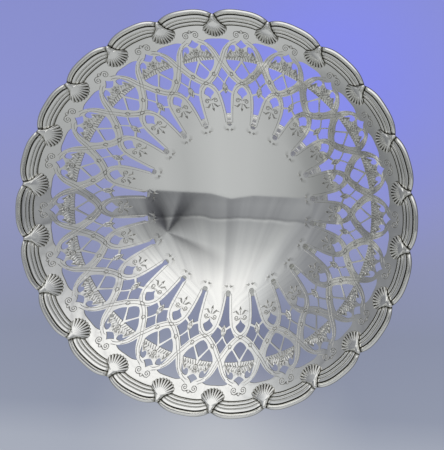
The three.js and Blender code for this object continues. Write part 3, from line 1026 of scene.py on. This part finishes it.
# Half the outline of a shell about its fan's centre: the turn from the way the fan faces, in degrees, and the
# reach as a share of the fan's, from the middle of its lip to the end of its stem
SHELL_HALF = [
    (0, 1), (20, 1), (38, 1.005), (50, 1), (58, 0.978), (64, 0.9), (69, 0.736), (74, 0.516), (85, 0.363),
    (101, 0.29), (118, 0.275), (136, 0.295), (150, 0.36), (164, 0.455), (172, 0.5), (180, 0.52),
]


def shell_outline(sizes, count):
    """A shell's outline from the end of its stem round the lip and back, as evenly spaced points in
    millimetres: inward and aside from the fan's centre."""
    rows = [(-turn, reach) for turn, reach in SHELL_HALF[:0:-1]] + SHELL_HALF
    knots = [polar(1, math.radians(turn)) * reach * sizes.fan_radius for turn, reach in rows]
    line = catmull_rom(knots, 0.02)
    total = sum((b - a).length for a, b in zip(line, line[1:]))
    points = [line[0]]
    gone = 0.0
    for a, b in zip(line, line[1:]):
        gone += (b - a).length
        if gone >= len(points) * total / count - 1e-6:
            points.append(b)
    points[count // 2].y = 0
    return [*points[:count], points[0].copy()]


def shell_half_width(sizes):
    """A function that gives a shell's half width at a distance in from the cusp, in millimetres."""
    outline = shell_outline(sizes, 800)

    def half_width(inward):
        x = inward - sizes.fan_centre
        return max((point.y for point in outline if abs(point.x - x) < 0.15), default=0.0)

    return half_width


def is_lip(edge):
    """Whether an edge of the unit grid lies on the side that becomes the outline of a shell."""
    return all(vert.co.y > 0.499 for vert in edge.verts)


def smooth_step(low, high, value):
    share = min(1, max(0, (value - low) / (high - low)))
    return share * share * (3 - 2 * share)


def shell_point(sizes, clear, edge, out):
    """A point of a shell's back, from a point of its outline and its way out to it, 0 to 1. Returns how far
    it lies in from the cusp, how far aside, its height and its shade."""
    angle = abs(math.atan2(edge.y, edge.x))
    spread = sizes.shell_spread
    ridge = abs(math.cos(0.5 * math.pi * sizes.shell_ridges * angle / spread)) if angle < spread else 0.0
    fanned = 1 - smooth_step(0.92 * spread, 1.1 * spread, angle)
    scallop = 1 + 0.07 * fanned * (ridge - 0.7) * out**3
    centre = sizes.fan_centre
    inward = centre + out * scallop * edge.x
    aside = out * scallop * edge.y
    lip = sizes.lip_height
    if edge.x > 0:
        height = lip + (sizes.shell_height - sizes.knob_rise - lip) * (1 - out**2)
    else:
        # The keel rises from the fan to a knob, whose outer side falls away gently
        knob_share, knob_fall = 0.52, 1.9
        end = centre - SHELL_HALF[-1][1] * sizes.fan_radius
        along = min(1, max(0, (inward - end) / (centre - end)))
        keel = sizes.shell_height - sizes.knob_rise * along**2
        keel -= knob_fall * max(0.0, 1 - along / knob_share) ** 1.5
        height = lip + (keel - lip) * max(0.0, 1 - abs(aside / max(0.05, clear(inward))) ** 2.8)
    fluted = smooth_step(0.35, 0.95, out) * fanned
    height -= sizes.flute_depth * fluted * (1 - ridge) ** 2.2
    # Painted shade in the flutes, growing towards the lip
    shade = smooth_step(0.45, 0.9, out) * fanned * min(1, 1.25 * (1 - ridge) ** 1.3)
    return inward, aside, height, shade


def spin_profile(profile, steps):
    """A closed profile of radii and heights turned about the Z axis."""
    bm = bmesh.new()
    verts = [bm.verts.new((radius, 0, height)) for radius, height in profile]
    edges = [bm.edges.new(pair) for pair in zip(verts, [*verts[1:], verts[0]])]
    bmesh.ops.spin(
        bm, geom=verts + edges, cent=(0, 0, 0), axis=(0, 0, 1), angle=2 * math.pi, steps=steps, use_merge=True
    )
    close_up(bm, 0.001)
    return bm


def bezier(a, b, c, d, count):
    points = []
    for i in range(count + 1):
        t = i / count
        weights = ((1 - t) ** 3, 3 * t * (1 - t) ** 2, 3 * t**2 * (1 - t), t**3)
        points.append(tuple(sum(w * p[k] for w, p in zip(weights, (a, b, c, d))) for k in (0, 1)))
    return points


class TazzaMakeFoot(bpy.types.Operator):
    """Model the spun foot and the wire round its edge"""

    bl_idname = "tazza.make_foot"
    bl_label = "Make Foot"

    def execute(self, context):
        form = BowlForm(context.scene.tazza_bowl)
        sizes = in_millimetres(context.scene.tazza_foot)
        material = polished_silver("polished_spun_silver", 0.2, 0.00002, 0.2)
        steps = 8 * form.lobes
        neck = sizes.neck_radius
        solder = 0.05
        edge = sizes.radius - 1.2
        edge_low = sizes.wire_height + solder
        step_height = sizes.step_height
        step = edge - sizes.step_width
        neck_top = form.offset(neck, -form.sheet - solder)
        outer = bezier(
            (neck, neck_top), (neck, neck_top * 0.45), (neck + (step - neck) * 0.3, step_height + 0.6),
            (step - 0.6, step_height), 20,
        )
        fillet = [
            (step - 0.2, step_height + 0.25), (step + 0.3, step_height + 0.3), (step + 0.6, step_height),
            (step + 0.7, step_height - 0.7),
        ]
        spread = bezier(
            (step + 1.0, step_height - 1.0), (step + 2.2, step_height - 1.3), (edge - 1.4, edge_low + 1.4),
            (edge, edge_low + 0.8), 8,
        )
        wall = sizes.sheet
        inner = [
            (radius - 0.9 * wall, height - (wall if i else 0)) for i, (radius, height) in enumerate(outer)
        ]
        under = [(edge, edge_low), (step, edge_low)]
        bm = spin_profile([*outer, *fillet, *spread, *under, *reversed(inner)], steps)
        finish_mesh("spun_foot", bm, material, "foot_cove", 40)

        height = sizes.wire_height
        half = height * 0.5
        turns = [math.radians(-78 + 156 * i / 12) for i in range(13)]
        round_face = [
            (sizes.radius - half * (1 - math.cos(turn)), half * (1 + math.sin(turn))) for turn in turns
        ]
        flat = sizes.radius - 1.0
        inside = sizes.radius - sizes.wire_width
        bm = spin_profile([(inside, 0), (flat, 0), *round_face, (flat, height), (inside, height)], steps)
        finish_mesh("foot_rim_wire", bm, material, "foot_wire", 40)
        return {"FINISHED"}


# Where the photograph's camera stood, from a fit of the rim's cusps, and its rotation about X, Y and Z
CAMERA_PLACE = (0.2006, 0.0899, 0.9451)
CAMERA_TURN = (-6.0482, 12.6109, 0.3398)
CAMERA_LENS = 112.0


class TazzaMakeStudio(bpy.types.Operator):
    """Set up the floor, the soft light and the camera"""

    bl_idname = "tazza.make_studio"
    bl_label = "Make Studio"

    def execute(self, context):
        scene = context.scene
        scene.view_settings.view_transform = "Standard"
        bm = bmesh.new()
        bmesh.ops.create_circle(bm, cap_ends=True, radius=3.0, segments=96)
        mesh = bpy.data.meshes.new("floor")
        bm.to_mesh(mesh)
        bm.free()
        mesh.materials.append(floor_paper("pale_paper_sweep"))
        floor = bpy.data.objects.new("floor", mesh)
        scene.collection.objects.link(floor)

        scene.world = studio_world("cloth_tent")

        camera = bpy.data.objects.new("camera", bpy.data.cameras.new("camera"))
        scene.collection.objects.link(camera)
        camera.location = CAMERA_PLACE
        camera.rotation_euler = [math.radians(turn) for turn in CAMERA_TURN]
        camera.data.lens = CAMERA_LENS
        camera.data.clip_start = 0.05
        camera.data.clip_end = 20
        scene.camera = camera
        return {"FINISHED"}


class TazzaPanel(bpy.types.Panel):
    """The tazza's pieces and sizes"""

    bl_idname = "VIEW3D_PT_tazza"
    bl_label = "Tazza"
    bl_space_type = "VIEW_3D"
    bl_region_type = "UI"
    bl_category = "Tazza"

    def draw(self, context):
        for attribute, (name, group, operators) in GROUPS.items():
            box = self.layout.box()
            box.label(text=name)
            settings = getattr(context.scene, attribute)
            for key in group.__annotations__:
                box.prop(settings, key)
            for operator in operators:
                box.operator(operator)


GROUPS = {
    "tazza_bowl": ("Bowl", TazzaBowlSizes, ["tazza.make_bowl"]),
    "tazza_engraving": ("Engraving", TazzaEngravingSizes, []),
    "tazza_border": ("Border and shells", TazzaBorderSizes, ["tazza.make_border", "tazza.make_shells"]),
    "tazza_foot": ("Foot", TazzaFootSizes, ["tazza.make_foot"]),
    "tazza_finish": ("Finish", TazzaFinish, []),
    "tazza_studio": ("Studio", TazzaStudio, ["tazza.make_studio"]),
}
CLASSES = (
    *(group for _, group, _ in GROUPS.values()),
    TazzaMakeBowl, TazzaMakeBorder, TazzaMakeShells, TazzaMakeFoot, TazzaMakeStudio, TazzaPanel,
)


def register():
    for cls in CLASSES:
        bpy.utils.register_class(cls)
    for attribute, (_, group, _) in GROUPS.items():
        setattr(bpy.types.Scene, attribute, PointerProperty(type=group))


def unregister():
    for attribute in GROUPS:
        delattr(bpy.types.Scene, attribute)
    for cls in reversed(CLASSES):
        bpy.utils.unregister_class(cls)


def main():
    register()
    bpy.ops.tazza.make_studio()
    bpy.ops.tazza.make_bowl()
    bpy.ops.tazza.make_border()
    bpy.ops.tazza.make_shells()
    bpy.ops.tazza.make_foot()


if __name__ == "__main__":
    main()
